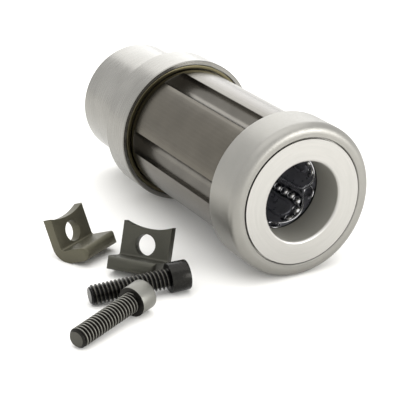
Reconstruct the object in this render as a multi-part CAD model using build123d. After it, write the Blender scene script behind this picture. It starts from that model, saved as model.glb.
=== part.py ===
from build123d import *
import math
import os

# Linear ball bushing for a 25.4 mm (1 in) round shaft. The axis lies along X,
# the flange's seating face is at X = 0 and the nose points to +X.
# Everything rests on a plane FLANGE_R below the axis.

# Overall turned sizes
FLANGE_R = 25.4
FLANGE_LENGTH = 12.7
PILOT_R = 20.64
PILOT_LENGTH = 28.6
BODY_R = 22.225
SPIGOT_R = 19.27
FIT_GAP = 0.025
EDGE_BREAK = 0.5
FLANGE_EDGE = 0.3

# Stations along the axis
BODY_REAR_X = -28.3
SHOULDER_X = 3.7
COUNTERBORE_X = 11.2
CAP_REAR_X = 72.6
BODY_FRONT_X = 78.7
NOSE_X = 87.0
BUSH_REAR_X = 74.8
RETAINER_REAR_X = -20.75
RETAINER_FRONT_X = 73.6

# Flange retaining ring
COUNTERBORE_R = 24.0
RING_GROOVE_R = 21.6
RING_OUTER_R = 23.8
RING_REAR_X = 11.3
RING_WIDTH = 1.2
RING_SPLIT = 3.0

# Nose
CAP_FILLET = 3.0
DISC_R = 20.92
DISC_FACE_R = 20.55
DISC_STEP = 1.5
DISC_SEAT_EDGE = 0.25
BUSH_BORE_R = 13.15
BUSH_EDGE = 0.8

# Flutes in the body
CIRCUITS = 5
FLUTE_R = 4.05
FLUTE_CENTRE_R = 22.2
FLUTE_REAR_X = 14.4
FLUTE_FRONT_X = 69.7
FLUTE_ANGLE = -37.5

# Ball train
BALL_R = 3.969 / 2
RACE_R = 16.70
LOADED_ROW_R = 14.684
RETURN_ROW_R = 16.4
TURN_R = 5.22
TURN_BALLS = 4
ROW_BALLS = 19
PITCH = math.pi * TURN_R / TURN_BALLS
ROW_FRONT_X = 65.2
ROW_REAR_X = ROW_FRONT_X - ROW_BALLS * PITCH
CHANNEL_R = 2.04

# Ball retainer
RETAINER_INNER_R = 13.9
RETAINER_OUTER_R = 16.65
RIM_INNER_R = 13.35
RIM_OVERLAP = 0.05
RIM_INSIDE = 2.05
RIM_OUTSIDE = 2.45
RIM_DEPTH = 8.0
EYELET_WIDTH = 2.6
EYELET_LENGTH = 4.0
EYELET_X = 5.7

# End rings, rear bush and snap ring
INSERT_R = 16.67
END_RING_R = 13.45
END_RING_WIDTH = 1.1
REAR_BUSH_LENGTH = 3.6
SNAP_GROOVE_R = 17.6
SNAP_INNER_R = 14.8
SNAP_WIDTH = 1.2
SNAP_SPLIT = 6.0

# Toe clamps
CLAMP_WIDTH = 16.74
CLAMP_PLATE = 3.22
CLAMP_HEIGHT = 15.5
CLAMP_REACH = 13.2
CLAMP_FOOT = 4.4
CLAMP_HEEL_R = 6.0
CLAMP_TOE_R = 0.9
CLAMP_THROAT_R = 0.8
CLAMP_ARC_R = 22.3
CLAMP_HOLE_R = 3.5
CLAMP_HOLE_HEIGHT = 8.7
CLAMP_LEAN = 21.2

# Quarter-inch socket head cap screws, 20 threads to the inch
THREAD_R = 3.175
THREAD_PITCH = 1.27
THREAD_ROOT_R = 2.5
THREAD_TURNS = 19
SCREW_LENGTH = 25.4
HEAD_R = 4.7625
HEAD_HEIGHT = 6.35
HEAD_EDGE = 0.5
SOCKET_FLAT = 4.7625
SOCKET_DEPTH = 3.0

# Where the loose pieces lie: X, Y and heading in degrees
CLAMP_LEFT_AT = (37.7, -53.15, 28.5)
CLAMP_RIGHT_AT = (58.6, -42.4, -52.2)
SCREW_FRONT_AT = (96.3, -82.3, 114.8)
SCREW_REAR_AT = (72.65, -67.0, 81.4)


def turned(points):
    """Solid of revolution about X from (x, radius) corners."""
    outline = make_face(Polyline(*points, close=True))
    return revolve(outline, axis=Axis.X)


def tube(rear, front, outer, inner):
    """Plain ring about the X axis."""
    return turned([(rear, inner), (front, inner), (front, outer), (rear, outer)])


def rim_edges(shape, x, radius):
    """Circular edges of a turned shape at one station and radius."""
    found = []
    for edge in shape.edges().filter_by(GeomType.CIRCLE):
        if abs(edge.radius - radius) < 0.01 and abs(edge.arc_center.X - x) < 0.01:
            found.append(edge)
    return found


def around(shape, index):
    """The same shape turned to the circuit with this index."""
    return Rot(360 / CIRCUITS * index, 0, 0) * shape


def circuit_plane():
    """Plane through the first circuit's two ball rows; local X is the bushing's X."""
    cosine = LOADED_ROW_R**2 + RETURN_ROW_R**2 - (2 * TURN_R) ** 2
    spread = math.acos(cosine / (2 * LOADED_ROW_R * RETURN_ROW_R))
    start = math.radians(FLUTE_ANGLE)
    loaded = Vector(0, math.cos(start), math.sin(start)) * LOADED_ROW_R
    end = start - spread
    returning = Vector(0, math.cos(end), math.sin(end)) * RETURN_ROW_R
    middle = (loaded + returning) * 0.5
    across = (returning - loaded).normalized()
    return Plane(origin=middle, x_dir=(1, 0, 0), z_dir=Vector(1, 0, 0).cross(across))


def ball_channel():
    """The two straights and two bends of the channel for one circuit of balls."""
    length = ROW_FRONT_X - ROW_REAR_X
    straight = Rot(0, 90, 0) * Cylinder(CHANNEL_R, length, align=(Align.CENTER, Align.CENTER, Align.MIN))
    bend = Torus(TURN_R, CHANNEL_R, major_angle=180, align=None)
    plane = circuit_plane()
    return [
        plane * Pos(ROW_REAR_X, -TURN_R, 0) * straight,
        plane * Pos(ROW_REAR_X, TURN_R, 0) * straight,
        plane * Pos(ROW_FRONT_X, 0, 0) * Rot(0, 0, -90) * bend,
        plane * Pos(ROW_REAR_X, 0, 0) * Rot(0, 0, 90) * bend,
    ]


def cut_circuits(shape):
    """Cut every circuit's ball channel out of a shape."""
    for piece in ball_channel():
        for index in range(CIRCUITS):
            shape -= around(piece, index)
    return shape


def racetrack(offset):
    """Flat racetrack outline at an offset outside the balls' centre line."""
    middle = (ROW_FRONT_X + ROW_REAR_X) / 2
    slot = SlotCenterToCenter(ROW_FRONT_X - ROW_REAR_X, 2 * (TURN_R + offset))
    return Pos(middle, 0, -RIM_DEPTH) * slot


def track_rim():
    """Raised lip that follows one racetrack on the retainer's inside."""
    wall = extrude(racetrack(RIM_OUTSIDE) - racetrack(RIM_INSIDE), 1.5 * RIM_DEPTH)
    band = tube(RETAINER_REAR_X, RETAINER_FRONT_X, RETAINER_INNER_R + RIM_OVERLAP, RIM_INNER_R)
    return (circuit_plane() * wall) & band


def eyelet():
    """Oval hole through the retainer between two racetrack ends."""
    oval = extrude(SlotOverall(EYELET_LENGTH, EYELET_WIDTH), RETAINER_OUTER_R * 2)
    centre = FLUTE_ANGLE - 90 - 360 / CIRCUITS * 0.27 + 180 / CIRCUITS
    return Pos(ROW_FRONT_X + EYELET_X, 0, 0) * Rot(centre, 0, 0) * oval


def mounting_sleeve():
    """Pilot and flange in one piece, bored for the body and its retaining ring."""
    sleeve = turned([
        (-PILOT_LENGTH, SPIGOT_R + FIT_GAP), (SHOULDER_X, SPIGOT_R + FIT_GAP),
        (SHOULDER_X, BODY_R + FIT_GAP), (COUNTERBORE_X, BODY_R + FIT_GAP),
        (COUNTERBORE_X, COUNTERBORE_R), (FLANGE_LENGTH, COUNTERBORE_R),
        (FLANGE_LENGTH, FLANGE_R), (0, FLANGE_R), (0, PILOT_R), (-PILOT_LENGTH, PILOT_R),
    ])
    flange_rims = rim_edges(sleeve, FLANGE_LENGTH, FLANGE_R) + rim_edges(sleeve, 0, FLANGE_R)
    sleeve = chamfer(flange_rims, FLANGE_EDGE)
    return chamfer(rim_edges(sleeve, -PILOT_LENGTH, PILOT_R), EDGE_BREAK)


def bearing_body():
    """Hardened outer race: fluted outside, ball channels inside."""
    front_ring = RING_REAR_X + RING_WIDTH + FIT_GAP
    snap_rear = snap_ring_rear() - FIT_GAP
    snap_front = snap_ring_rear() + SNAP_WIDTH + FIT_GAP
    body = turned([
        (BODY_REAR_X, RACE_R), (snap_rear, RACE_R), (snap_rear, SNAP_GROOVE_R),
        (snap_front, SNAP_GROOVE_R), (snap_front, RACE_R), (BODY_FRONT_X, RACE_R),
        (BODY_FRONT_X, BODY_R), (front_ring, BODY_R), (front_ring, RING_GROOVE_R),
        (RING_REAR_X - FIT_GAP, RING_GROOVE_R), (RING_REAR_X - FIT_GAP, BODY_R),
        (SHOULDER_X + FIT_GAP, BODY_R), (SHOULDER_X + FIT_GAP, SPIGOT_R), (BODY_REAR_X, SPIGOT_R),
    ])
    for index in range(CIRCUITS):
        body -= around(flute(), index)
    return cut_circuits(body)


def flute():
    """Half-round groove along the body's outside, square at both ends."""
    groove = Cylinder(FLUTE_R, FLUTE_FRONT_X - FLUTE_REAR_X, align=(Align.CENTER, Align.CENTER, Align.MIN))
    laid = Pos(FLUTE_REAR_X, FLUTE_CENTRE_R, 0) * Rot(0, 90, 0) * groove
    return Rot(FLUTE_ANGLE, 0, 0) * laid


def flange_retaining_ring():
    """Split ring that holds the body in the flange."""
    ring = tube(RING_REAR_X, RING_REAR_X + RING_WIDTH, RING_OUTER_R, RING_GROOVE_R + FIT_GAP)
    return ring - Pos(RING_REAR_X, 0, -RING_OUTER_R) * Box(4 * RING_WIDTH, RING_SPLIT, RING_OUTER_R)


def front_cap():
    """Nose cap over the body's front end, with a large rounded rim."""
    cap = turned([
        (CAP_REAR_X, BODY_R + FIT_GAP), (BODY_FRONT_X + FIT_GAP, BODY_R + FIT_GAP),
        (BODY_FRONT_X + FIT_GAP, DISC_R + FIT_GAP), (NOSE_X, DISC_R + FIT_GAP),
        (NOSE_X, FLANGE_R), (CAP_REAR_X, FLANGE_R),
    ])
    cap = fillet(rim_edges(cap, NOSE_X, FLANGE_R), CAP_FILLET)
    cap = chamfer(rim_edges(cap, NOSE_X, DISC_R + FIT_GAP), DISC_SEAT_EDGE)
    return fillet(rim_edges(cap, CAP_REAR_X, FLANGE_R), EDGE_BREAK)


def front_bush():
    """Front disc with a spigot in the body's bore; the shaft passes through it."""
    disc_rear = BODY_FRONT_X + 2 * FIT_GAP
    bush = turned([
        (BUSH_REAR_X, BUSH_BORE_R), (NOSE_X, BUSH_BORE_R), (NOSE_X, DISC_FACE_R),
        (NOSE_X - DISC_STEP, DISC_FACE_R), (NOSE_X - DISC_STEP, DISC_R),
        (disc_rear, DISC_R), (disc_rear, INSERT_R), (BUSH_REAR_X, INSERT_R),
    ])
    return fillet(rim_edges(bush, NOSE_X, BUSH_BORE_R), BUSH_EDGE)


def front_end_ring():
    """Thin ring between the retainer and the front bush."""
    rear = RETAINER_FRONT_X + 2 * FIT_GAP
    return tube(rear, rear + END_RING_WIDTH, INSERT_R, END_RING_R)


def ball_retainer():
    """Tube that guides the balls round their racetracks and keeps them in."""
    retainer = tube(RETAINER_REAR_X, RETAINER_FRONT_X, RETAINER_OUTER_R, RETAINER_INNER_R)
    lip = track_rim()
    hole = eyelet()
    for index in range(CIRCUITS):
        retainer += around(lip, index)
        retainer -= around(hole, index)
    return cut_circuits(retainer)


def rear_ring_rear():
    """Station of the rear end ring's rear face."""
    return RETAINER_REAR_X - 2 * FIT_GAP - END_RING_WIDTH


def snap_ring_rear():
    """Station of the snap ring's rear face."""
    return rear_ring_rear() - REAR_BUSH_LENGTH - 4 * FIT_GAP - SNAP_WIDTH


def rear_end_ring():
    """Thin ring between the retainer and the rear bush."""
    rear = rear_ring_rear()
    return tube(rear, rear + END_RING_WIDTH, INSERT_R, END_RING_R)


def rear_bush():
    """Short bush in the rear of the body's bore."""
    front = rear_ring_rear() - 2 * FIT_GAP
    bush = tube(front - REAR_BUSH_LENGTH, front, INSERT_R, BUSH_BORE_R)
    return chamfer(rim_edges(bush, front - REAR_BUSH_LENGTH, BUSH_BORE_R), EDGE_BREAK)


def rear_snap_ring():
    """Split ring in a groove behind the rear bush."""
    rear = snap_ring_rear()
    ring = tube(rear, rear + SNAP_WIDTH, SNAP_GROOVE_R - FIT_GAP, SNAP_INNER_R)
    return ring - Pos(rear, 0, SNAP_GROOVE_R) * Box(4 * SNAP_WIDTH, SNAP_SPLIT, SNAP_GROOVE_R)


def ball_row(side):
    """Straight row of balls, on the loaded side (-1) or the return side (1)."""
    balls = []
    for step in range(ROW_BALLS):
        x = ROW_FRONT_X - (step + 0.5) * PITCH
        balls.append(circuit_plane() * Pos(x, side * TURN_R, 0) * Sphere(BALL_R))
    return Compound(children=balls)


def ball_turn(x, heading):
    """Balls in one end turn; heading is 1 at the front and -1 at the rear."""
    balls = []
    for step in range(TURN_BALLS):
        angle = math.pi * (step + 0.5) / TURN_BALLS
        place = Pos(x + heading * TURN_R * math.sin(angle), -TURN_R * math.cos(angle), 0)
        balls.append(circuit_plane() * place * Sphere(BALL_R))
    return Compound(children=balls)


def toe_clamp():
    """L-shaped clamp: plate with a screw hole and a hollowed edge, foot below."""
    outline = make_face(Polyline(
        (0, 0), (CLAMP_REACH, 0), (CLAMP_REACH, CLAMP_FOOT), (CLAMP_PLATE, CLAMP_FOOT),
        (CLAMP_PLATE, CLAMP_HEIGHT), (0, CLAMP_HEIGHT), close=True))
    corners = outline.vertices()
    heel = corners.sort_by_distance((0, 0, 0))[0]
    outline = fillet(heel, CLAMP_HEEL_R)
    toe = outline.vertices().filter_by_position(Axis.X, CLAMP_REACH - 0.1, CLAMP_REACH + 0.1)
    outline = fillet(toe, CLAMP_TOE_R)
    throat = outline.vertices().sort_by_distance((CLAMP_PLATE, CLAMP_FOOT, 0))[0]
    outline = fillet(throat, CLAMP_THROAT_R)
    clamp = extrude(Rot(90, 0, 0) * outline, CLAMP_WIDTH / 2, both=True)
    half = CLAMP_WIDTH / 2
    arc_height = CLAMP_HEIGHT + math.sqrt(CLAMP_ARC_R**2 - half**2)
    clamp -= Pos(0, 0, arc_height) * Rot(0, 90, 0) * Cylinder(CLAMP_ARC_R, CLAMP_HEIGHT)
    return clamp - Pos(0, 0, CLAMP_HOLE_HEIGHT) * Rot(0, 90, 0) * Cylinder(CLAMP_HOLE_R, CLAMP_HEIGHT)


def laid_clamp(at):
    """Clamp resting on its rounded heel."""
    x, y, heading = at
    leaning = Rot(0, -CLAMP_LEAN, 0) * Pos(-CLAMP_HEEL_R, 0, -CLAMP_HEEL_R) * toe_clamp()
    return Pos(x, y, CLAMP_HEEL_R - FLANGE_R) * Rot(0, 0, heading) * leaning


def cap_screw():
    """Socket head cap screw along X with its tip at the origin."""
    corners = [(0, 0), (0, THREAD_ROOT_R)]
    for turn in range(THREAD_TURNS):
        start = (turn + 0.2) * THREAD_PITCH
        corners.append((start, THREAD_ROOT_R))
        corners.append((start + 0.35 * THREAD_PITCH, THREAD_R))
        corners.append((start + 0.47 * THREAD_PITCH, THREAD_R))
        corners.append((start + 0.79 * THREAD_PITCH, THREAD_ROOT_R))
    corners.append((SCREW_LENGTH, THREAD_ROOT_R))
    corners.append((SCREW_LENGTH, HEAD_R))
    corners.append((SCREW_LENGTH + HEAD_HEIGHT, HEAD_R))
    corners.append((SCREW_LENGTH + HEAD_HEIGHT, 0))
    screw = turned(corners)
    screw = chamfer(rim_edges(screw, SCREW_LENGTH + HEAD_HEIGHT, HEAD_R), HEAD_EDGE)
    hexagon = extrude(RegularPolygon(SOCKET_FLAT / 2, 6, major_radius=False), SOCKET_DEPTH)
    socket_floor = SCREW_LENGTH + HEAD_HEIGHT - SOCKET_DEPTH
    return screw - Pos(socket_floor, 0, 0) * Rot(0, 90, 0) * hexagon


def laid_screw(at):
    """Screw resting on its thread and on the underside of its head."""
    x, y, heading = at
    tilt = math.atan((HEAD_R - THREAD_R) / SCREW_LENGTH)
    height = THREAD_R * math.cos(tilt) - FLANGE_R
    return Pos(x, y, height) * Rot(0, 0, heading) * Rot(0, -math.degrees(tilt), 0) * cap_screw()


def save(name, shape):
    """Write one sub-part."""
    export_step(shape, f"parts/{name}.step")


def save_ball_train():
    """Write the four ball groups of every circuit."""
    groups = {
        "loaded_row": ball_row(-1),
        "return_row": ball_row(1),
        "front_turn": ball_turn(ROW_FRONT_X, 1),
        "rear_turn": ball_turn(ROW_REAR_X, -1),
    }
    for name, group in groups.items():
        for index in range(CIRCUITS):
            save(f"{name}_{index + 1}", around(group, index))


os.makedirs("parts", exist_ok=True)
save("mounting_sleeve", mounting_sleeve())
save("bearing_body", bearing_body())
save("flange_retaining_ring", flange_retaining_ring())
save("front_cap", front_cap())
save("front_bush", front_bush())
save("front_end_ring", front_end_ring())
save("ball_retainer", ball_retainer())
save("rear_end_ring", rear_end_ring())
save("rear_bush", rear_bush())
save("rear_snap_ring", rear_snap_ring())
save("clamp_left", laid_clamp(CLAMP_LEFT_AT))
save("clamp_right", laid_clamp(CLAMP_RIGHT_AT))
save("screw_front", laid_screw(SCREW_FRONT_AT))
save("screw_rear", laid_screw(SCREW_REAR_AT))
save_ball_train()
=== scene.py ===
import math

import bpy
from mathutils import Matrix, Vector


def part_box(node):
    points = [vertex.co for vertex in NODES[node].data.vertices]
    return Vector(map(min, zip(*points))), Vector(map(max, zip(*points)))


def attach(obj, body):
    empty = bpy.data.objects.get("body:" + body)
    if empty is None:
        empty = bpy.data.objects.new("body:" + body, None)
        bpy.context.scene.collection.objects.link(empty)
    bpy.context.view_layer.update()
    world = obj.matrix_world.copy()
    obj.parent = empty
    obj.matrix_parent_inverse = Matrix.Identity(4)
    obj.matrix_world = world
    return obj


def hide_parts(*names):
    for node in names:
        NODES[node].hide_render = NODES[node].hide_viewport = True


bl_info = {
    "name": "Linear Ball Bushing",
    "version": (1, 0, 0),
    "blender": (4, 5, 0),
    "location": "View3D > Sidebar > Bushing",
    "description": "Finishes a flanged linear ball bushing with its loose clamps and screws",
    "category": "Object",
}

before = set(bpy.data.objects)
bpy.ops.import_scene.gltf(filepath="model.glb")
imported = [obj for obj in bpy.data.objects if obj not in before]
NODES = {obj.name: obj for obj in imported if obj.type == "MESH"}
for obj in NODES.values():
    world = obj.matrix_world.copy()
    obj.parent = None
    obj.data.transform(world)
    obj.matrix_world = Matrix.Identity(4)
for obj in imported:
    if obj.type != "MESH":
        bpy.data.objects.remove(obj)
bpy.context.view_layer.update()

MM = 0.001
FLOOR_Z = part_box("front_cap")[0].z
BALL_GROUPS = ("loaded_row", "return_row", "front_turn", "rear_turn")

# Ball circuits, in millimetres and degrees
CIRCUITS = 5
LOADED_ROW_ANGLE = -37.5
LOADED_ROW_R = 14.684
RETURN_ROW_R = 16.4
TURN_R = 5.22
ROW_FRONT_X = 65.2
ROW_BALLS = 19
ROW_REAR_X = ROW_FRONT_X - ROW_BALLS * math.pi * TURN_R / 4
BEAD_R = 0.46
BEAD_LINE_R = 13.68
BEAD_OFFSET = 2.36
BEAD_STEPS = 20
EYELET_HALF_LENGTH = 2.0
EYELET_HALF_WIDTH = 1.3
EYELET_X = 5.7
EYELET_ANGLE = -20.94

# Fluted body and the shaft bore of both bushes, in millimetres
BODY_R = 22.225
FLUTE_EDGE_DEPTH = 0.35
SHAFT_BORE_R = 13.15

# Retaining ring in the flange, in millimetres and degrees
RING_MIDDLE_X = 11.9
RING_INNER_R = 22.35
RING_OUTER_R = 23.75
RING_WIDTH = 1.1
RING_EDGE = 0.28
RING_GAP = 9.0
RING_GAP_HEADING = 200.0

# Quarter-inch screws, in millimetres
THREAD_R = 3.175
THREAD_ROOT_R = 2.5
# Beyond the next radius the thread's faces take the lighter crest colour, a painted highlight
THREAD_WEAR_AND_HIGHLIGHT_R = 3.05
THREAD_PITCH = 1.27
THREAD_STEPS = 40
CREST_CLEARANCE = 0.03
SCREW_LENGTH = 25.4
TIP_CHAMFER = 0.8
HEAD_R = 4.7625
HEAD_HEIGHT = 6.35
SOCKET_FLAT = 4.7625
SOCKET_DEPTH = 3.0
HEAD_RIM = 0.5
HEAD_UNDER_RIM = 0.12
DRILL_POINT_R = 2.2
DRILL_POINT_DEPTH = 1.2
DRILL_POINT_DROP = 0.4
# X and Y of each screw's tip on the floor in millimetres, and its heading in degrees
SCREWS = {"screw_front": (96.3, -82.3, 114.8), "screw_rear": (72.65, -67.0, 81.4)}

# Toe clamps, in millimetres and degrees
CLAMP_WIDTH = 16.74
CLAMP_PLATE = 3.22
CLAMP_HEIGHT = 15.5
CLAMP_REACH = 13.2
CLAMP_FOOT = 4.4
CLAMP_HEEL_R = 6.0
CLAMP_TOE_R = 1.9
CLAMP_THROAT_R = 0.8
CLAMP_ARC_R = 22.3
CLAMP_HOLE_R = 3.5
CLAMP_HOLE_HEIGHT = 8.7
CLAMP_LEAN = 21.2
CLAMP_CORNER_R = 1.8
CLAMP_EDGE = 0.6
# X and Y of each clamp's heel on the floor in millimetres, and its heading in degrees
CLAMPS = {"clamp_left": (37.7, -53.15, 28.5), "clamp_right": (58.6, -42.4, -52.2)}

# How near a point or face counts as on a plane, and as one point, in millimetres
ON_THE_PLANE = 0.01
ON_THE_FACE = 0.05
SAME_POINT = 0.002

# Edges turned by more than this look sharp, and are bevelled
SMOOTH_ANGLE = math.radians(32)
BEVEL_ANGLE = math.radians(40)

# Camera and floor in metres, with the lens and sensor in millimetres
CAMERA_PLACE = (0.4394, -0.2336, 0.1766)
CAMERA_VIEW = (-0.8056, 0.4503, -0.3849)
CAMERA_LENS = 132.75
CAMERA_SENSOR = 36.0
CAMERA_REACH = 20.0
FLOOR_SIZE = 6.0

# Place, aim and size of each soft light, in metres
LIGHTS = {
    "key": ((0.05, 0.05, 0.9), (0.04, 0.0, 0.0), 1.1),
    "nose": ((0.75, 0.42, 0.12), (0.08, 0.0, 0.0), 0.5),
    "back": ((-0.75, 0.35, 0.45), (0.03, 0.0, 0.0), 0.8),
}

# Patterns in repeats per millimetre: marks and grit are drawn coarser than real ones, so that they show
MARKS_ROUND_A_TURN = 1.5
FACING_MARKS = 1.4
SPRING_MARKS = 2.0
RING_MARKS = 3.0
SLEEVE_PATCHES = 0.09
GRAIN_CLOUDS = 0.12
OXIDE_CLOUDS = 0.15
OXIDE_GRIT = 3.0
FLOW_MARKS = 0.5
FLOOR_GRAIN = 0.02

# Most of a noise texture's values lie between these
NOISE_LOW = 0.3
NOISE_HIGH = 0.7

# Depth of tool marks and of grain, in millimetres
MARK_DEPTH = 0.05
GRAIN_DEPTH = 0.1


# ---------------------------------------------------------------- materials

def linear(hex_colour):
    """sRGB hex to linear red, green and blue."""
    values = [int(hex_colour[i:i + 2], 16) / 255 for i in (1, 3, 5)]
    return tuple(v / 12.92 if v <= 0.04045 else ((v + 0.055) / 1.055) ** 2.4 for v in values)


def opaque(colour):
    """Hex colour or colour setting as the four values that a socket takes."""
    rgb = linear(colour) if isinstance(colour, str) else colour
    return (*rgb, 1.0)


def add(tree, kind, links=None, **settings):
    """Adds one shader node with its settings, values and links."""
    made = tree.nodes.new(kind)
    for name, value in settings.items():
        setattr(made, name, value)
    for key, value in (links or {}).items():
        if isinstance(value, bpy.types.NodeSocket):
            tree.links.new(value, made.inputs[key])
        else:
            made.inputs[key].default_value = value
    return made


def new_material(name, viewport):
    """Empty material and its node tree."""
    made = bpy.data.materials.new(name)
    made.use_nodes = True
    made.diffuse_color = opaque(viewport)
    made.node_tree.nodes.clear()
    return made, made.node_tree


def close_material(tree, shader):
    """Sends the shader to the output."""
    add(tree, "ShaderNodeOutputMaterial", {"Surface": shader.outputs[0]})


def millimetres(tree):
    """Object coordinates in millimetres."""
    place = add(tree, "ShaderNodeTexCoord")
    return add(tree, "ShaderNodeVectorMath", {0: place.outputs["Object"], "Scale": 1 / MM},
               operation="SCALE").outputs[0]


def from_the_axis(tree):
    """Place split into X, the offset from the axis and its length, in millimetres."""
    point = add(tree, "ShaderNodeSeparateXYZ", {0: millimetres(tree)})
    flat = add(tree, "ShaderNodeCombineXYZ", {"Y": point.outputs["Y"], "Z": point.outputs["Z"]})
    radius = add(tree, "ShaderNodeVectorMath", {0: flat.outputs[0]}, operation="LENGTH")
    return point, flat, radius


def lathe_coordinates(tree, across, along):
    """Coordinates that change fast across a lathe's tool marks and slowly along them."""
    point, flat, radius = from_the_axis(tree)
    heading = add(tree, "ShaderNodeVectorMath", {0: flat.outputs[0]}, operation="NORMALIZE")
    turn = add(tree, "ShaderNodeVectorMath", {0: heading.outputs[0], "Scale": along}, operation="SCALE")
    feed = add(tree, "ShaderNodeMath", {0: point.outputs["X"], 1: radius.outputs["Value"]}, operation="ADD")
    fine = add(tree, "ShaderNodeMath", {0: feed.outputs[0], 1: across}, operation="MULTIPLY")
    line = add(tree, "ShaderNodeCombineXYZ", {"X": fine.outputs[0]})
    return add(tree, "ShaderNodeVectorMath", {0: line.outputs[0], 1: turn.outputs[0]},
               operation="ADD").outputs[0]


def blend(tree, factor, dark, light):
    """Two colours mixed by a texture's value."""
    mix = add(tree, "ShaderNodeMix", data_type="RGBA")
    tree.links.new(factor, mix.inputs["Factor"])
    mix.inputs[6].default_value = opaque(dark)
    mix.inputs[7].default_value = opaque(light)
    return mix.outputs[2]


def spread(tree, value, low, high):
    """Maps a 0 to 1 texture value to a range."""
    return add(tree, "ShaderNodeMapRange", {"Value": value, "From Min": NOISE_LOW, "From Max": NOISE_HIGH,
                                            "To Min": low, "To Max": high}).outputs[0]


def turned_steel(name, dark, light, rough, across, bump, anisotropy):
    """Steel with fine tool marks round the axis: soft highlights drawn out across the marks."""
    made, tree = new_material(name, light)
    marks = add(tree, "ShaderNodeTexNoise", {
        "Vector": lathe_coordinates(tree, across, MARKS_ROUND_A_TURN),
        "Scale": 1.0, "Detail": 3.0, "Roughness": 0.6})
    patches = add(tree, "ShaderNodeTexNoise", {"Vector": millimetres(tree),
                                               "Scale": SLEEVE_PATCHES, "Detail": 2.0})
    both = add(tree, "ShaderNodeMath", {0: marks.outputs[0], 1: patches.outputs[0]}, operation="ADD")
    half = add(tree, "ShaderNodeMath", {0: both.outputs[0], 1: 0.5}, operation="MULTIPLY")
    dent = add(tree, "ShaderNodeBump", {"Height": marks.outputs[0], "Strength": bump,
                                            "Distance": MARK_DEPTH * MM})
    grain = add(tree, "ShaderNodeTangent", direction_type="RADIAL", axis="X")
    shader = add(tree, "ShaderNodeBsdfPrincipled", {
        "Base Color": blend(tree, half.outputs[0], dark, light), "Metallic": 1.0,
        "Roughness": spread(tree, marks.outputs[0], rough - 0.05, rough + 0.05),
        "Anisotropic": anisotropy, "Tangent": grain.outputs[0], "Normal": dent.outputs[0]})
    close_material(tree, shader)
    return made


def grained_metal(name, dark, light, rough, grain_mm, bump, metallic):
    """Metal with an even, non-directional grain, such as a blasted or phosphated face."""
    made, tree = new_material(name, light)
    place = millimetres(tree)
    grit = add(tree, "ShaderNodeTexNoise", {"Vector": place, "Scale": 1.0 / grain_mm, "Detail": 2.0})
    cloud = add(tree, "ShaderNodeTexNoise", {"Vector": place, "Scale": GRAIN_CLOUDS, "Detail": 3.0})
    both = add(tree, "ShaderNodeMath", {0: grit.outputs[0], 1: cloud.outputs[0]}, operation="ADD")
    half = add(tree, "ShaderNodeMath", {0: both.outputs[0], 1: 0.5}, operation="MULTIPLY")
    dent = add(tree, "ShaderNodeBump", {"Height": grit.outputs[0], "Strength": bump,
                                            "Distance": GRAIN_DEPTH * MM})
    shader = add(tree, "ShaderNodeBsdfPrincipled", {
        "Base Color": blend(tree, half.outputs[0], dark, light), "Metallic": metallic,
        "Roughness": spread(tree, grit.outputs[0], rough - 0.06, rough + 0.06),
        "Normal": dent.outputs[0]})
    close_material(tree, shader)
    return made


def faced_steel(name, bore_r):
    """Steel faced on a lathe, satin, with a duller honed bore inside bore_r; its pale face is painted light,
    lighter than the cap of the same steel.
    """
    made, tree = new_material(name, "#c2bfb9")
    marks = add(tree, "ShaderNodeTexNoise", {
        "Vector": lathe_coordinates(tree, FACING_MARKS, MARKS_ROUND_A_TURN),
        "Scale": 1.0, "Detail": 3.0, "Roughness": 0.6})
    radius = from_the_axis(tree)[2]
    face = add(tree, "ShaderNodeMapRange", {"Value": radius.outputs["Value"], "From Min": bore_r + 0.02,
                                            "From Max": bore_r + 0.15}).outputs[0]
    colour = add(tree, "ShaderNodeMix", data_type="RGBA")
    tree.links.new(face, colour.inputs["Factor"])
    colour.inputs[6].default_value = opaque("#9a9890")
    # Face colours: painted light, lighter than the cap's grain to stand in for the light from the front
    tree.links.new(blend(tree, marks.outputs[0], "#a3a29e", "#b3b1ad"), colour.inputs[7])
    rough = add(tree, "ShaderNodeMapRange", {"Value": face, "To Min": 0.5, "To Max": 0.36}).outputs[0]
    metal = add(tree, "ShaderNodeMapRange", {"Value": face, "To Min": 0.45, "To Max": 1.0}).outputs[0]
    dent = add(tree, "ShaderNodeBump", {"Height": marks.outputs[0], "Strength": 0.2,
                                            "Distance": MARK_DEPTH * MM})
    shader = add(tree, "ShaderNodeBsdfPrincipled", {
        "Base Color": colour.outputs[2], "Metallic": metal, "Roughness": rough,
        "Normal": dent.outputs[0]})
    close_material(tree, shader)
    return made


def fluted_steel(name, land, flute, edge, rough):
    """Hardened body: dark oxide on the lands, brighter ground flutes and a painted highlight line on their
    edges.
    """
    made, tree = new_material(name, land)
    place = millimetres(tree)
    cloud = add(tree, "ShaderNodeTexNoise", {"Vector": place, "Scale": OXIDE_CLOUDS, "Detail": 3.0})
    grit = add(tree, "ShaderNodeTexNoise", {"Vector": place, "Scale": OXIDE_GRIT, "Detail": 2.0})
    radius = from_the_axis(tree)[2].outputs["Value"]
    depth = add(tree, "ShaderNodeMapRange", {"Value": radius, "From Min": BODY_R - FLUTE_EDGE_DEPTH,
                                             "From Max": BODY_R}).outputs[0]
    ramp = add(tree, "ShaderNodeValToRGB", {0: depth})
    stops = ramp.color_ramp.elements
    stops[0].position = 0.0
    stops[0].color = opaque(flute)
    stops[1].position = 0.97
    stops[1].color = opaque(land)
    # Pale stop near the land: a painted highlight along each flute's edge
    pale_edge_line = stops.new(0.75)
    pale_edge_line.color = opaque(edge)
    shade = spread(tree, cloud.outputs[0], 0.9, 1.06)
    tinted = add(tree, "ShaderNodeVectorMath", {0: ramp.outputs[0], "Scale": shade}, operation="SCALE")
    shader = add(tree, "ShaderNodeBsdfPrincipled", {
        "Base Color": tinted.outputs[0], "Metallic": 1.0,
        "Roughness": spread(tree, grit.outputs[0], rough - 0.03, rough + 0.03)})
    close_material(tree, shader)
    return made


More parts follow.
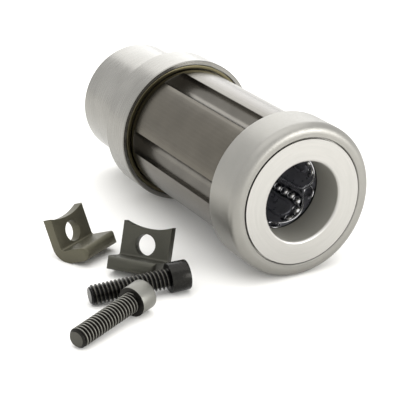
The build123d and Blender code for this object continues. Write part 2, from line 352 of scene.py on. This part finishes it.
def dark_retainer(name, dark, light, rough, metallic):
    """Polished dark retainer: charcoal with a cool cast and faint flow marks under the gloss."""
    made, tree = new_material(name, light)
    flow = add(tree, "ShaderNodeTexNoise", {"Vector": millimetres(tree), "Scale": FLOW_MARKS, "Detail": 2.0})
    dent = add(tree, "ShaderNodeBump", {"Height": flow.outputs[0], "Strength": 0.05,
                                            "Distance": GRAIN_DEPTH * MM})
    shader = add(tree, "ShaderNodeBsdfPrincipled", {
        "Base Color": blend(tree, flow.outputs[0], dark, light), "Metallic": metallic,
        "Roughness": spread(tree, flow.outputs[0], rough - 0.04, rough + 0.04),
        "Normal": dent.outputs[0]})
    close_material(tree, shader)
    return made


def finish_node(node, material):
    """Gives a CAD node its procedural finish."""
    data = NODES[node].data
    data.materials.clear()
    data.materials.append(material)


# ---------------------------------------------------------------- modelling

def start_clean():
    """Leaves edit mode and deselects everything."""
    if bpy.context.object and bpy.context.object.mode != "OBJECT":
        bpy.ops.object.mode_set(mode="OBJECT")
    bpy.ops.object.select_all(action="DESELECT")


def take_up(piece):
    """Makes one piece the only selected and active one."""
    start_clean()
    piece.select_set(True)
    bpy.context.view_layer.objects.active = piece


def drawn_line(name, points):
    """Chain of edges extruded from one vertex through the points, in millimetres."""
    start_clean()
    places = [Vector(point) * MM for point in points]
    bpy.ops.mesh.primitive_plane_add(size=MM, location=places[0])
    piece = bpy.context.object
    piece.name = name
    bpy.ops.object.transform_apply(location=True, rotation=True, scale=True)
    bpy.ops.object.mode_set(mode="EDIT")
    bpy.ops.mesh.select_mode(type="VERT")
    bpy.ops.mesh.select_all(action="SELECT")
    bpy.ops.mesh.merge(type="CENTER")
    for here, there in zip(places, places[1:]):
        bpy.ops.mesh.extrude_region_move(TRANSFORM_OT_translate={"value": there - here})
    bpy.ops.object.mode_set(mode="OBJECT")
    return piece


def extrude_outline(piece, way):
    """Fills an outline and pulls it into a solid, in millimetres."""
    take_up(piece)
    bpy.ops.object.mode_set(mode="EDIT")
    bpy.ops.mesh.select_all(action="SELECT")
    bpy.ops.mesh.edge_face_add()
    bpy.ops.mesh.extrude_region_move(TRANSFORM_OT_translate={"value": Vector(way) * MM})
    bpy.ops.object.mode_set(mode="OBJECT")
    merge_doubles(piece)


def solid_cylinder(radius, depth, place, vertices=96, axis="Z"):
    """Plain cylinder used as a blank or a cutter, in millimetres."""
    start_clean()
    turn = (0, math.pi / 2, 0) if axis == "X" else (0, 0, 0)
    bpy.ops.mesh.primitive_cylinder_add(vertices=vertices, radius=radius * MM, depth=depth * MM,
                                        location=Vector(place) * MM, rotation=turn)
    bpy.ops.object.transform_apply(location=True, rotation=True, scale=True)
    return bpy.context.object


def apply_modifier(piece, kind, **settings):
    """Adds one modifier with its settings and applies it."""
    take_up(piece)
    made = piece.modifiers.new(kind.lower(), kind)
    for name, value in settings.items():
        setattr(made, name, value)
    bpy.ops.object.modifier_apply(modifier=made.name)


def combine(piece, tool, operation):
    """Joins, cuts or trims a piece with a second solid, which is then thrown away."""
    apply_modifier(piece, "BOOLEAN", object=tool, operation=operation, solver="EXACT")
    bpy.data.objects.remove(tool)


def bevel_where(piece, test, width, segments):
    """Bevels the edges whose two ends pass a test on their place in millimetres."""
    take_up(piece)
    bpy.ops.object.mode_set(mode="EDIT")
    bpy.ops.mesh.select_mode(type="EDGE")
    bpy.ops.mesh.select_all(action="DESELECT")
    bpy.ops.object.mode_set(mode="OBJECT")
    corners = piece.data.vertices
    for edge in piece.data.edges:
        edge.select = all(test(corners[index].co / MM) for index in edge.vertices)
    bpy.ops.object.mode_set(mode="EDIT")
    bpy.ops.mesh.bevel(offset=width * MM, segments=segments, affect="EDGES")
    bpy.ops.object.mode_set(mode="OBJECT")


def merge_doubles(piece):
    """Welds points that coincide and turns every face outwards."""
    take_up(piece)
    bpy.ops.object.mode_set(mode="EDIT")
    bpy.ops.mesh.select_all(action="SELECT")
    bpy.ops.mesh.remove_doubles(threshold=SAME_POINT * MM)
    bpy.ops.mesh.normals_make_consistent(inside=False)
    bpy.ops.object.mode_set(mode="OBJECT")


def lay(piece, place):
    """Puts a finished piece where it lies and keeps that place in its mesh."""
    take_up(piece)
    piece.matrix_world = place
    bpy.ops.object.transform_apply(location=True, rotation=True, scale=True)
    bpy.ops.object.shade_smooth_by_angle(angle=SMOOTH_ANGLE)


def copied(piece, name):
    """Second piece with its own mesh."""
    take_up(piece)
    bpy.ops.object.duplicate()
    made = bpy.context.object
    made.name = name
    return made


def laid_place(at, height, lean):
    """Place of a loose piece on the floor: X, Y and heading, its height and its lean."""
    x, y, heading = at
    return (Matrix.Translation((x * MM, y * MM, FLOOR_Z + height * MM))
            @ Matrix.Rotation(math.radians(heading), 4, "Z")
            @ Matrix.Rotation(-lean, 4, "Y"))


def arc(centre, radius, start, end, steps=8):
    """Points in XZ along an arc, in millimetres and degrees."""
    found = []
    for step in range(steps + 1):
        angle = math.radians(start + (end - start) * step / steps)
        found.append((centre[0] + radius * math.cos(angle), centre[1] + radius * math.sin(angle)))
    return found


def in_the_bore(points, middle_angle):
    """Wraps a flat outline of (x, across) onto the retainer's inside."""
    found = []
    for x, across in points:
        angle = middle_angle - math.asin(across / BEAD_LINE_R)
        found.append((x, BEAD_LINE_R * math.cos(angle), BEAD_LINE_R * math.sin(angle)))
    return found


def racetrack(radius, middle):
    """Closed outline at one distance from the middle line between a circuit's two rows."""
    front = arc((ROW_FRONT_X, middle), radius, -90, 90, BEAD_STEPS)
    rear = arc((ROW_REAR_X, middle), radius, 90, 270, BEAD_STEPS)
    return front + rear + front[:1]


def rounded_bead(name, points, radius):
    """Round bead along a closed line, with its radius in metres."""
    piece = drawn_line(name, points)
    merge_doubles(piece)
    bpy.ops.object.convert(target="CURVE")
    piece.data.bevel_depth = radius
    piece.data.bevel_resolution = 3
    bpy.ops.object.convert(target="MESH")
    merge_doubles(piece)
    bpy.ops.object.shade_smooth()
    return piece


def threaded_shank(name, tip_chamfer):
    """Right-handed helical thread with a chamfered tip at the origin, along Z."""
    root, crest, wear_and_highlight = THREAD_ROOT_R, THREAD_R, THREAD_WEAR_AND_HIGHLIGHT_R
    flank = (THREAD_R - THREAD_ROOT_R) * math.tan(math.radians(30))
    wear_and_highlight_part = flank * (wear_and_highlight - root) / (crest - root)
    foot = (THREAD_PITCH - THREAD_PITCH / 8 - 2 * flank) / 2
    turn = [(root, 0), (root, foot), (wear_and_highlight, foot + wear_and_highlight_part), (crest, foot + flank),
            (crest, THREAD_PITCH - foot - flank), (wear_and_highlight, THREAD_PITCH - foot - wear_and_highlight_part),
            (root, THREAD_PITCH - foot), (root, THREAD_PITCH)]
    start = -2 * THREAD_PITCH
    piece = drawn_line(name, [(radius, 0, start + height) for radius, height in turn])
    turns = math.ceil(SCREW_LENGTH / THREAD_PITCH) + 4
    apply_modifier(piece, "SCREW", axis="Z", screw_offset=THREAD_PITCH * MM, iterations=turns,
                   steps=THREAD_STEPS, render_steps=THREAD_STEPS, use_normal_calculate=True)
    merge_doubles(piece)
    spare = 0.4
    for height, below in ((-spare, True), (SCREW_LENGTH + 2 * spare, False)):
        bpy.ops.object.mode_set(mode="EDIT")
        bpy.ops.mesh.select_all(action="SELECT")
        bpy.ops.mesh.bisect(plane_co=(0, 0, height * MM), plane_no=(0, 0, 1), use_fill=True,
                            clear_inner=below, clear_outer=not below)
        bpy.ops.object.mode_set(mode="OBJECT")
    merge_doubles(piece)
    envelope = solid_cylinder(THREAD_R + CREST_CLEARANCE, SCREW_LENGTH + spare,
                              (0, 0, (SCREW_LENGTH + spare) / 2))
    bevel_where(envelope, lambda p: p.z < ON_THE_PLANE, tip_chamfer, 1)
    combine(piece, envelope, "INTERSECT")
    return piece


def screw_head(name):
    """Round head with eased rims, a hexagon socket and the drill point below it."""
    middle = SCREW_LENGTH + HEAD_HEIGHT / 2
    top = SCREW_LENGTH + HEAD_HEIGHT
    head = solid_cylinder(HEAD_R, HEAD_HEIGHT, (0, 0, middle))
    head.name = name
    bevel_where(head, lambda p: p.z > top - ON_THE_PLANE, HEAD_RIM, 3)
    bevel_where(head, lambda p: p.z < SCREW_LENGTH + ON_THE_PLANE, HEAD_UNDER_RIM, 2)
    hexagon = solid_cylinder(SOCKET_FLAT / math.sqrt(3), 2 * SOCKET_DEPTH, (0, 0, top), vertices=6)
    combine(head, hexagon, "DIFFERENCE")
    start_clean()
    bpy.ops.mesh.primitive_cone_add(vertices=48, radius1=0, radius2=DRILL_POINT_R * MM,
                                    depth=DRILL_POINT_DEPTH * MM,
                                    location=(0, 0, (top - SOCKET_DEPTH - DRILL_POINT_DROP) * MM))
    bpy.ops.object.transform_apply(location=True, rotation=True, scale=True)
    combine(head, bpy.context.object, "DIFFERENCE")
    return head


def rounded_toe_blank(corner):
    """Upright block round the clamp, with its two toe corners rounded in plan."""
    half = CLAMP_WIDTH / 2
    outline = [(-CLAMP_REACH, -half)]
    outline += arc((CLAMP_REACH - corner, corner - half), corner, 270, 360)
    outline += arc((CLAMP_REACH - corner, half - corner), corner, 0, 90)
    outline += [(-CLAMP_REACH, half)]
    blank = drawn_line("blank", [(x, y, -CLAMP_REACH) for x, y in outline])
    extrude_outline(blank, (0, 0, 3 * CLAMP_HEIGHT))
    return blank


def toe_clamp(name, toe, corner, edge):
    """Clamp with its heel's outer corner at the origin, plate up, foot along X."""
    outline = arc((CLAMP_HEEL_R, CLAMP_HEEL_R), CLAMP_HEEL_R, 180, 270, 16)
    outline += arc((CLAMP_REACH - toe, toe), toe, 270, 360)
    outline += arc((CLAMP_REACH - toe, CLAMP_FOOT - toe), toe, 0, 90)
    inner = CLAMP_PLATE + CLAMP_THROAT_R
    outline += arc((inner, CLAMP_FOOT + CLAMP_THROAT_R), CLAMP_THROAT_R, 270, 180)
    outline += [(CLAMP_PLATE, CLAMP_HEIGHT), (0, CLAMP_HEIGHT)]
    half = CLAMP_WIDTH / 2
    piece = drawn_line(name, [(x, -half, z) for x, z in outline])
    extrude_outline(piece, (0, CLAMP_WIDTH, 0))
    combine(piece, rounded_toe_blank(corner), "INTERSECT")
    arc_height = CLAMP_HEIGHT + math.sqrt(CLAMP_ARC_R**2 - half**2)
    combine(piece, solid_cylinder(CLAMP_ARC_R, CLAMP_HEIGHT, (0, 0, arc_height), 256, "X"), "DIFFERENCE")
    hole = solid_cylinder(CLAMP_HOLE_R, CLAMP_HEIGHT, (0, 0, CLAMP_HOLE_HEIGHT), 64, "X")
    combine(piece, hole, "DIFFERENCE")
    piece.data.materials.append(None)
    piece.data.materials.append(None)
    apply_modifier(piece, "BEVEL", width=edge * MM, segments=3, limit_method="ANGLE",
                   angle_limit=BEVEL_ANGLE, material=1)
    return piece


# ---------------------------------------------------------------- settings

def colour_setting(name, description, hex_colour):
    """Colour that a user can change, given in sRGB hex."""
    return bpy.props.FloatVectorProperty(name=name, description=description, subtype="COLOR",
                                         default=linear(hex_colour), min=0.0, max=1.0)


def length_setting(name, description, length):
    """Length that a user can change, given in millimetres."""
    return bpy.props.FloatProperty(name=name, description=description, unit="LENGTH", precision=5,
                                   default=length * MM, min=0.0)


class BushingStage(bpy.types.PropertyGroup):
    """Floor and lights."""
    floor_colour: colour_setting("Floor colour", "Colour of the plain floor", "#f3f2ef")
    sky: bpy.props.FloatProperty(
        name="Ambient light", description="Strength of the even light from all round",
        default=1.36, min=0.0)
    key: bpy.props.FloatProperty(
        name="Key light", description="Power of the large light above", subtype="POWER", default=4.0)
    nose: bpy.props.FloatProperty(
        name="Nose light", description="Power of the light that faces the nose", subtype="POWER",
        default=4.5)
    back: bpy.props.FloatProperty(
        name="Back light", description="Power of the light behind the pilot", subtype="POWER",
        default=3.0)


class BushingSizes(bpy.types.PropertyGroup):
    """Sizes of the pieces modelled here."""
    bead_radius: length_setting("Bead radius", "Radius of the beads round the ball tracks", BEAD_R)
    ring_gap: bpy.props.FloatProperty(
        name="Ring gap", description="Opening of the split retaining ring", unit="ROTATION",
        subtype="ANGLE", default=math.radians(RING_GAP), min=0.0)
    tip_chamfer: length_setting("Tip chamfer", "Chamfer on the tip of each screw", TIP_CHAMFER)
    clamp_toe: length_setting("Clamp toe", "Rounding of the foot's end, from the side", CLAMP_TOE_R)
    clamp_corner: length_setting("Clamp corners", "Rounding of the foot's corners in plan", CLAMP_CORNER_R)
    clamp_edge: length_setting("Clamp edges", "Rounding of the clamp's rubbed edges", CLAMP_EDGE)


class BushingFinish(bpy.types.PropertyGroup):
    """Colours of the finishes and the spacing of the tool marks."""
    marks_per_mm: bpy.props.FloatProperty(
        name="Tool marks", description="Tool marks per millimetre, drawn coarse enough to show",
        default=1.6, min=0.1)
    sleeve_dark: colour_setting("Sleeve, dark", "Darker streaks of the turned sleeve", "#6a6965")
    sleeve_light: colour_setting("Sleeve, light", "Brighter streaks of the turned sleeve", "#989691")
    lands: colour_setting("Lands", "Oxide on the body's round lands", "#56524a")
    flutes: colour_setting("Flutes", "Ground steel in the body's flutes", "#625f59")
    # Flute edges: colour of the painted highlight line along each flute's edge
    flute_edge_highlights: colour_setting("Flute edges", "Rubbed line along the flutes", "#a3a19b")
    cap_dark: colour_setting("Cap, dark", "Darker grain of the blasted cap", "#807f7a")
    cap_light: colour_setting("Cap, light", "Brighter grain of the blasted cap", "#95938e")
    # Retainer colours: lighter than the real charcoal, painted light standing in for the light the bore
    # lacks
    retainer_dark: colour_setting("Retainer, dark", "Darker flow marks of the retainer", "#6c6c72")
    retainer_light: colour_setting("Retainer, light", "Brighter flow marks of the retainer", "#86868d")
    left_clamp_dark: colour_setting("Left clamp, dark", "Darker grain of the olive coat", "#434138")
    left_clamp_light: colour_setting("Left clamp, light", "Brighter grain of the olive coat", "#625f4e")
    right_clamp_dark: colour_setting("Right clamp, dark", "Darker grain of the dark coat", "#33332d")
    right_clamp_light: colour_setting("Right clamp, light", "Brighter grain of the dark coat", "#4b4a41")


# ---------------------------------------------------------------- operators

class BUSHING_OT_stage(bpy.types.Operator):
    """Adds the camera, the plain floor and the soft lights"""
    bl_idname = "bushing.stage"
    bl_label = "Stage"

    def execute(self, context):
        settings = context.scene.bushing_stage
        start_clean()
        bpy.ops.object.camera_add(location=CAMERA_PLACE)
        camera = context.object
        camera.name = "camera"
        camera.data.lens = CAMERA_LENS
        camera.data.sensor_width = CAMERA_SENSOR
        camera.rotation_euler = Vector(CAMERA_VIEW).to_track_quat("-Z", "Y").to_euler()
        camera.data.clip_end = CAMERA_REACH
        context.scene.camera = camera

        bpy.ops.mesh.primitive_plane_add(size=FLOOR_SIZE, location=(0, 0, FLOOR_Z))
        floor = context.object
        floor.name = "floor"
        floor.data.materials.append(self.floor_paint(settings))

        for name, (place, target, size) in LIGHTS.items():
            self.panel(f"{name}_light", place, target, size, getattr(settings, name))

        world = bpy.data.worlds.new("studio")
        world.use_nodes = True
        backdrop = world.node_tree.nodes["Background"]
        backdrop.inputs["Color"].default_value = opaque("#ffffff")
        backdrop.inputs["Strength"].default_value = settings.sky
        context.scene.world = world
        context.scene.view_settings.view_transform = "Standard"
        return {"FINISHED"}

    def floor_paint(self, settings):
        """Matt pale sweep: even, with a breath of grain."""
        made, tree = new_material("matt_sweep", "#f4f2ea")
        grain = add(tree, "ShaderNodeTexNoise", {"Vector": millimetres(tree), "Scale": FLOOR_GRAIN})
        tint = add(tree, "ShaderNodeMix", data_type="RGBA")
        tree.links.new(grain.outputs[0], tint.inputs["Factor"])
        paler = [min(1.0, value * 1.01) for value in settings.floor_colour]
        tint.inputs[6].default_value = opaque(settings.floor_colour)
        tint.inputs[7].default_value = opaque(paler)
        shader = add(tree, "ShaderNodeBsdfPrincipled", {
            "Base Color": tint.outputs[2], "Roughness": 0.9, "Specular IOR Level": 0.0})
        close_material(tree, shader)
        return made

    def panel(self, name, place, target, size, power):
        """One large soft light."""
        bpy.ops.object.light_add(type="AREA", location=place)
        light = bpy.context.object
        light.name = name
        light.data.shape = "SQUARE"
        light.data.size = size
        light.data.energy = power
        aim = Vector(target) - Vector(place)
        light.rotation_euler = aim.to_track_quat("-Z", "Y").to_euler()


class BUSHING_OT_sleeve(bpy.types.Operator):
    """Finishes the pilot and flange"""
    bl_idname = "bushing.sleeve"
    bl_label = "Mounting sleeve"

    def execute(self, context):
        look = context.scene.bushing_finish
        # Fine-turned steel: rings of tool marks that draw each highlight out along the sleeve
        finish_node("mounting_sleeve", turned_steel(
            "fine_turned_steel", look.sleeve_dark, look.sleeve_light, rough=0.26,
            across=look.marks_per_mm, bump=0.3, anisotropy=0.6))
        return {"FINISHED"}


class BUSHING_OT_body(bpy.types.Operator):
    """Finishes the dark fluted body"""
    bl_idname = "bushing.body"
    bl_label = "Bearing body"

    def execute(self, context):
        look = context.scene.bushing_finish
        # Hardened and oxidised steel: brown-black gloss, with a painted highlight line along the edge of
        # each flute
        finish_node("bearing_body", fluted_steel(
            "hardened_dark_steel", look.lands, look.flutes, look.flute_edge_highlights, rough=0.24))
        return {"FINISHED"}


class BUSHING_OT_nose(bpy.types.Operator):
    """Finishes the front cap and the disc with the shaft bore"""
    bl_idname = "bushing.nose"
    bl_label = "Front cap and disc"

    def execute(self, context):
        look = context.scene.bushing_finish
        # Blasted steel: an even, pale satin with no direction
        finish_node("front_cap", grained_metal(
            "blasted_steel", look.cap_dark, look.cap_light, rough=0.40, grain_mm=0.5, bump=0.35,
            metallic=1.0))
        # Faced steel: the same steel as the cap, painted a brighter satin to stand in for the light from the
        # front, with a dull honed bore
        finish_node("front_bush", faced_steel("faced_steel", SHAFT_BORE_R))
        return {"FINISHED"}


class BUSHING_OT_inside(bpy.types.Operator):
    """Finishes the retainer, balls, rings and rear bush"""
    bl_idname = "bushing.inside"
    bl_label = "Inside"

    def execute(self, context):
        look = context.scene.bushing_finish
        # Moulded retainer: glossy charcoal with a cool cast, painted lighter than its own colour to stand in
        # for light that does not reach into the bore
        finish_node("ball_retainer", dark_retainer(
            "moulded_retainer", look.retainer_dark, look.retainer_light, rough=0.3, metallic=0.5))
        # Polished bearing balls: small, sharp points of light
        ball = grained_metal("bearing_ball_steel", "#b9b9ba", "#cbcbcb", rough=0.12, grain_mm=0.8,
                             bump=0.05, metallic=1.0)
        for group in BALL_GROUPS:
            for number in range(1, CIRCUITS + 1):
                finish_node(f"{group}_{number}", ball)
        # Blackened spring steel: near black, with a soft sheen
        spring = turned_steel("spring_steel", "#2c2b29", "#3a3936", rough=0.35, across=SPRING_MARKS,
                              bump=0.2, anisotropy=0.3)
        for node in ("front_end_ring", "rear_end_ring", "rear_snap_ring"):
            finish_node(node, spring)
        # Faced steel again: the same satin, with the same painted light, as the front disc
        finish_node("rear_bush", faced_steel("faced_rear_steel", SHAFT_BORE_R))
        return {"FINISHED"}


class BUSHING_OT_ring(bpy.types.Operator):
    """Models the split retaining ring that holds the body in the flange"""
    bl_idname = "bushing.ring"
    bl_label = "Retaining ring"

    def execute(self, context):
        start_clean()
        middle = (RING_INNER_R + RING_OUTER_R) / 2
        bpy.ops.mesh.primitive_plane_add(size=MM, location=(RING_MIDDLE_X * MM, 0, middle * MM),
                                         rotation=(math.pi / 2, 0, 0))
        ring = context.object
        ring.name = "retaining_ring"
        ring.scale = (RING_WIDTH, RING_OUTER_R - RING_INNER_R, 1)
        bpy.ops.object.transform_apply(location=True, rotation=True, scale=True)
        bpy.ops.object.mode_set(mode="EDIT")
        bpy.ops.mesh.select_all(action="SELECT")
        sweep = math.tau - context.scene.bushing_sizes.ring_gap
        bpy.ops.mesh.spin(steps=144, angle=sweep, center=(0, 0, 0),
                          axis=(1, 0, 0), use_auto_merge=False)
        bpy.ops.object.mode_set(mode="OBJECT")
        merge_doubles(ring)
        apply_modifier(ring, "BEVEL", width=RING_EDGE * MM, segments=3, limit_method="ANGLE",
                       angle_limit=BEVEL_ANGLE)
        lay(ring, Matrix.Rotation(math.radians(RING_GAP_HEADING), 4, "X"))
        # Tempered spring steel: a thin straw-brown line between flange and body
        ring.data.materials.append(turned_steel(
            "straw_tempered_spring_steel", "#45412f", "#6b6550", rough=0.3, across=RING_MARKS,
            bump=0.2, anisotropy=0.3))
        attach(ring, "bearing")
        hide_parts("flange_retaining_ring")
        return {"FINISHED"}


class BUSHING_OT_beads(bpy.types.Operator):
    """Models the rounded beads round each ball track and lubrication eyelet"""
    bl_idname = "bushing.beads"
    bl_label = "Track beads"

    def execute(self, context):
        look = context.scene.bushing_finish
        radius = context.scene.bushing_sizes.bead_radius
        # Painted highlight: the track and eyelet rims in a pale mirror-like metal, thin bright lines round
        # the tracks and eyelets
        highlight_rim = dark_retainer("polished_retainer_rim", "#c4c4c6", "#dededf", rough=0.2, metallic=0.95)
        # Island rims without the painted highlight: the retainer's own dull charcoal
        dull = dark_retainer("dull_retainer_rim", look.retainer_dark, look.retainer_light, rough=0.3,
                             metallic=0.5)
        middle = (RETURN_ROW_R**2 - LOADED_ROW_R**2) / (4 * TURN_R)
        lean = math.degrees(math.asin((TURN_R - middle) / LOADED_ROW_R))
        track_angle = math.radians(LOADED_ROW_ANGLE - lean)
        straight = EYELET_HALF_LENGTH - EYELET_HALF_WIDTH
        eyelet_x = ROW_FRONT_X + EYELET_X
        ring_r = EYELET_HALF_WIDTH + radius / MM
        eyelet = arc((eyelet_x + straight, 0), ring_r, -90, 90)
        eyelet += arc((eyelet_x - straight, 0), ring_r, 90, 270)
        lines = {
            "track_bead": (racetrack(TURN_R + BEAD_OFFSET, middle), track_angle),
            "island_bead": (racetrack(TURN_R - BEAD_OFFSET, middle), track_angle),
            "eyelet_bead": (eyelet + eyelet[:1], math.radians(EYELET_ANGLE)),
        }
        for name, (outline, angle) in lines.items():
            first = rounded_bead(f"{name}_1", in_the_bore(outline, angle), radius)
            first.data.materials.append(dull if name == "island_bead" else highlight_rim)
            beads = [first] + [copied(first, f"{name}_{n}") for n in range(2, CIRCUITS + 1)]
            for index, bead in enumerate(beads):
                take_up(bead)
                bead.rotation_euler.x = math.tau / CIRCUITS * index
                bpy.ops.object.transform_apply(location=True, rotation=True, scale=True)
                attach(bead, "bearing")
        return {"FINISHED"}


class BUSHING_OT_clamps(bpy.types.Operator):
    """Models the two loose toe clamps"""
    bl_idname = "bushing.clamps"
    bl_label = "Toe clamps"

    def execute(self, context):
        look = context.scene.bushing_finish
        sizes = context.scene.bushing_sizes
        grain = {"rough": 0.5, "grain_mm": 0.5, "bump": 0.6, "metallic": 0.7}
        # Phosphated steel: a dry, gritty olive or near-black coat
        coats = {
            "clamp_left": grained_metal("olive_phosphate_coat", look.left_clamp_dark,
                                        look.left_clamp_light, **grain),
            "clamp_right": grained_metal("dark_phosphate_coat", look.right_clamp_dark,
                                         look.right_clamp_light, **grain),
        }
        # Coat rubbed thin on the edges: a paler, smoother line
        pale_edge_line = grained_metal("rubbed_phosphate_edge", "#6b6858", "#8a8773", rough=0.4, grain_mm=0.6,
                               bump=0.4, metallic=0.9)
        first = toe_clamp("toe_clamp_left", sizes.clamp_toe / MM, sizes.clamp_corner / MM,
                          sizes.clamp_edge / MM)
        second = copied(first, "toe_clamp_right")
        for clamp, node in ((first, "clamp_left"), (second, "clamp_right")):
            stand = laid_place(CLAMPS[node], CLAMP_HEEL_R, math.radians(CLAMP_LEAN))
            heel = Matrix.Translation((-CLAMP_HEEL_R * MM, 0, -CLAMP_HEEL_R * MM))
            lay(clamp, stand @ heel)
            clamp.data.materials[0] = coats[node]
            clamp.data.materials[1] = pale_edge_line
            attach(clamp, node)
            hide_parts(node)
        return {"FINISHED"}


class BUSHING_OT_screws(bpy.types.Operator):
    """Models the two loose socket head screws with their helical threads"""
    bl_idname = "bushing.screws"
    bl_label = "Cap screws"

    def execute(self, context):
        chamfer = context.scene.bushing_sizes.tip_chamfer / MM
        first = threaded_shank("cap_screw_front", chamfer)
        combine(first, screw_head("head"), "UNION")
        second = copied(first, "cap_screw_rear")
        # In each line: name, dark, light, roughness, grain in millimetres, bump and metallic.
        # Black oxide, gone grey with wear on the front screw: dark oily roots, crests lighter by wear and a
        # painted highlight, a bare dull head
        wear_and_highlight = (
            grained_metal("oiled_thread", "#1d1c1a", "#2b2a27", 0.35, 0.5, 0.2, 0.9),
            grained_metal("rubbed_crest", "#6e6d67", "#8b8a82", 0.3, 0.5, 0.1, 1.0),
            grained_metal("worn_grey_head", "#6b6b66", "#82817b", 0.44, 0.5, 0.2, 1.0),
            grained_metal("dull_grey_tip", "#41403b", "#54534d", 0.45, 0.5, 0.2, 0.9))
        # Fresh black oxide on the rear screw: deep black with an oiled gloss on the head, and crests lighter
        # as a painted highlight
        black = (
            grained_metal("black_oxide_thread", "#121212", "#1f1e1d", 0.3, 0.5, 0.2, 0.9),
            grained_metal("dull_crest", "#4b4a45", "#65635c", 0.3, 0.5, 0.1, 1.0),
            grained_metal("oiled_black_head", "#171716", "#302f2c", 0.24, 0.8, 0.4, 0.9),
            grained_metal("oiled_black_tip", "#2b2a27", "#3d3c37", 0.35, 0.5, 0.2, 0.9))
        finishes = {
            "screw_front": (first, "black_oxide_grey", wear_and_highlight),
            "screw_rear": (second, "black_oxide", black),
        }
        tilt = math.atan((HEAD_R - THREAD_R) / SCREW_LENGTH)
        along_x = Matrix.Rotation(math.pi / 2, 4, "Y")
        for node, (screw, slot, materials) in finishes.items():
            for material in materials:
                screw.data.materials.append(material)
            self.sort_faces(screw, chamfer)
            lay(screw, laid_place(SCREWS[node], THREAD_R * math.cos(tilt), tilt) @ along_x)
            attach(screw, node)
            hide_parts(node)
        return {"FINISHED"}

    def sort_faces(self, screw, chamfer):
        """Oxide in the thread and under the head, lighter crests as a painted highlight together with wear
        on the front screw, and the head's own finish.
        """
        for face in screw.data.polygons:
            place = face.center / MM
            radius = math.hypot(place.x, place.y)
            if place.z > SCREW_LENGTH + ON_THE_FACE:
                face.material_index = 2
            elif place.z > SCREW_LENGTH - ON_THE_FACE:
                face.material_index = 0
            elif place.z < ON_THE_FACE:
                face.material_index = 3
            # Crest faces take the lighter colour: a painted highlight, together with wear on the front screw
            elif radius > THREAD_WEAR_AND_HIGHLIGHT_R and place.z > chamfer:
                face.material_index = 1
            else:
                face.material_index = 0


class BUSHING_PT_panel(bpy.types.Panel):
    """Lists the pieces and the settings"""
    bl_idname = "BUSHING_PT_panel"
    bl_label = "Linear Ball Bushing"
    bl_space_type = "VIEW_3D"
    bl_region_type = "UI"
    bl_category = "Bushing"

    def draw(self, context):
        column = self.layout.column()
        for operator in OPERATORS:
            column.operator(operator.bl_idname)
        for group, kind in SETTINGS.items():
            column.separator()
            for name in kind.__annotations__:
                column.prop(getattr(context.scene, group), name)


OPERATORS = (BUSHING_OT_stage, BUSHING_OT_sleeve, BUSHING_OT_body, BUSHING_OT_nose,
             BUSHING_OT_inside, BUSHING_OT_ring, BUSHING_OT_beads, BUSHING_OT_clamps,
             BUSHING_OT_screws)
SETTINGS = {"bushing_stage": BushingStage, "bushing_sizes": BushingSizes, "bushing_finish": BushingFinish}
CLASSES = (*SETTINGS.values(), *OPERATORS, BUSHING_PT_panel)


def register():
    """Registers the settings, operators and panel."""
    for item in CLASSES:
        bpy.utils.register_class(item)
    for group, kind in SETTINGS.items():
        setattr(bpy.types.Scene, group, bpy.props.PointerProperty(type=kind))


def unregister():
    """Removes them again."""
    for group in SETTINGS:
        delattr(bpy.types.Scene, group)
    for item in reversed(CLASSES):
        bpy.utils.unregister_class(item)


def main():
    """Makes every piece in order."""
    register()
    bpy.ops.bushing.stage()
    bpy.ops.bushing.sleeve()
    bpy.ops.bushing.body()
    bpy.ops.bushing.nose()
    bpy.ops.bushing.inside()
    bpy.ops.bushing.ring()
    bpy.ops.bushing.beads()
    bpy.ops.bushing.clamps()
    bpy.ops.bushing.screws()


if __name__ == "__main__":
    main()
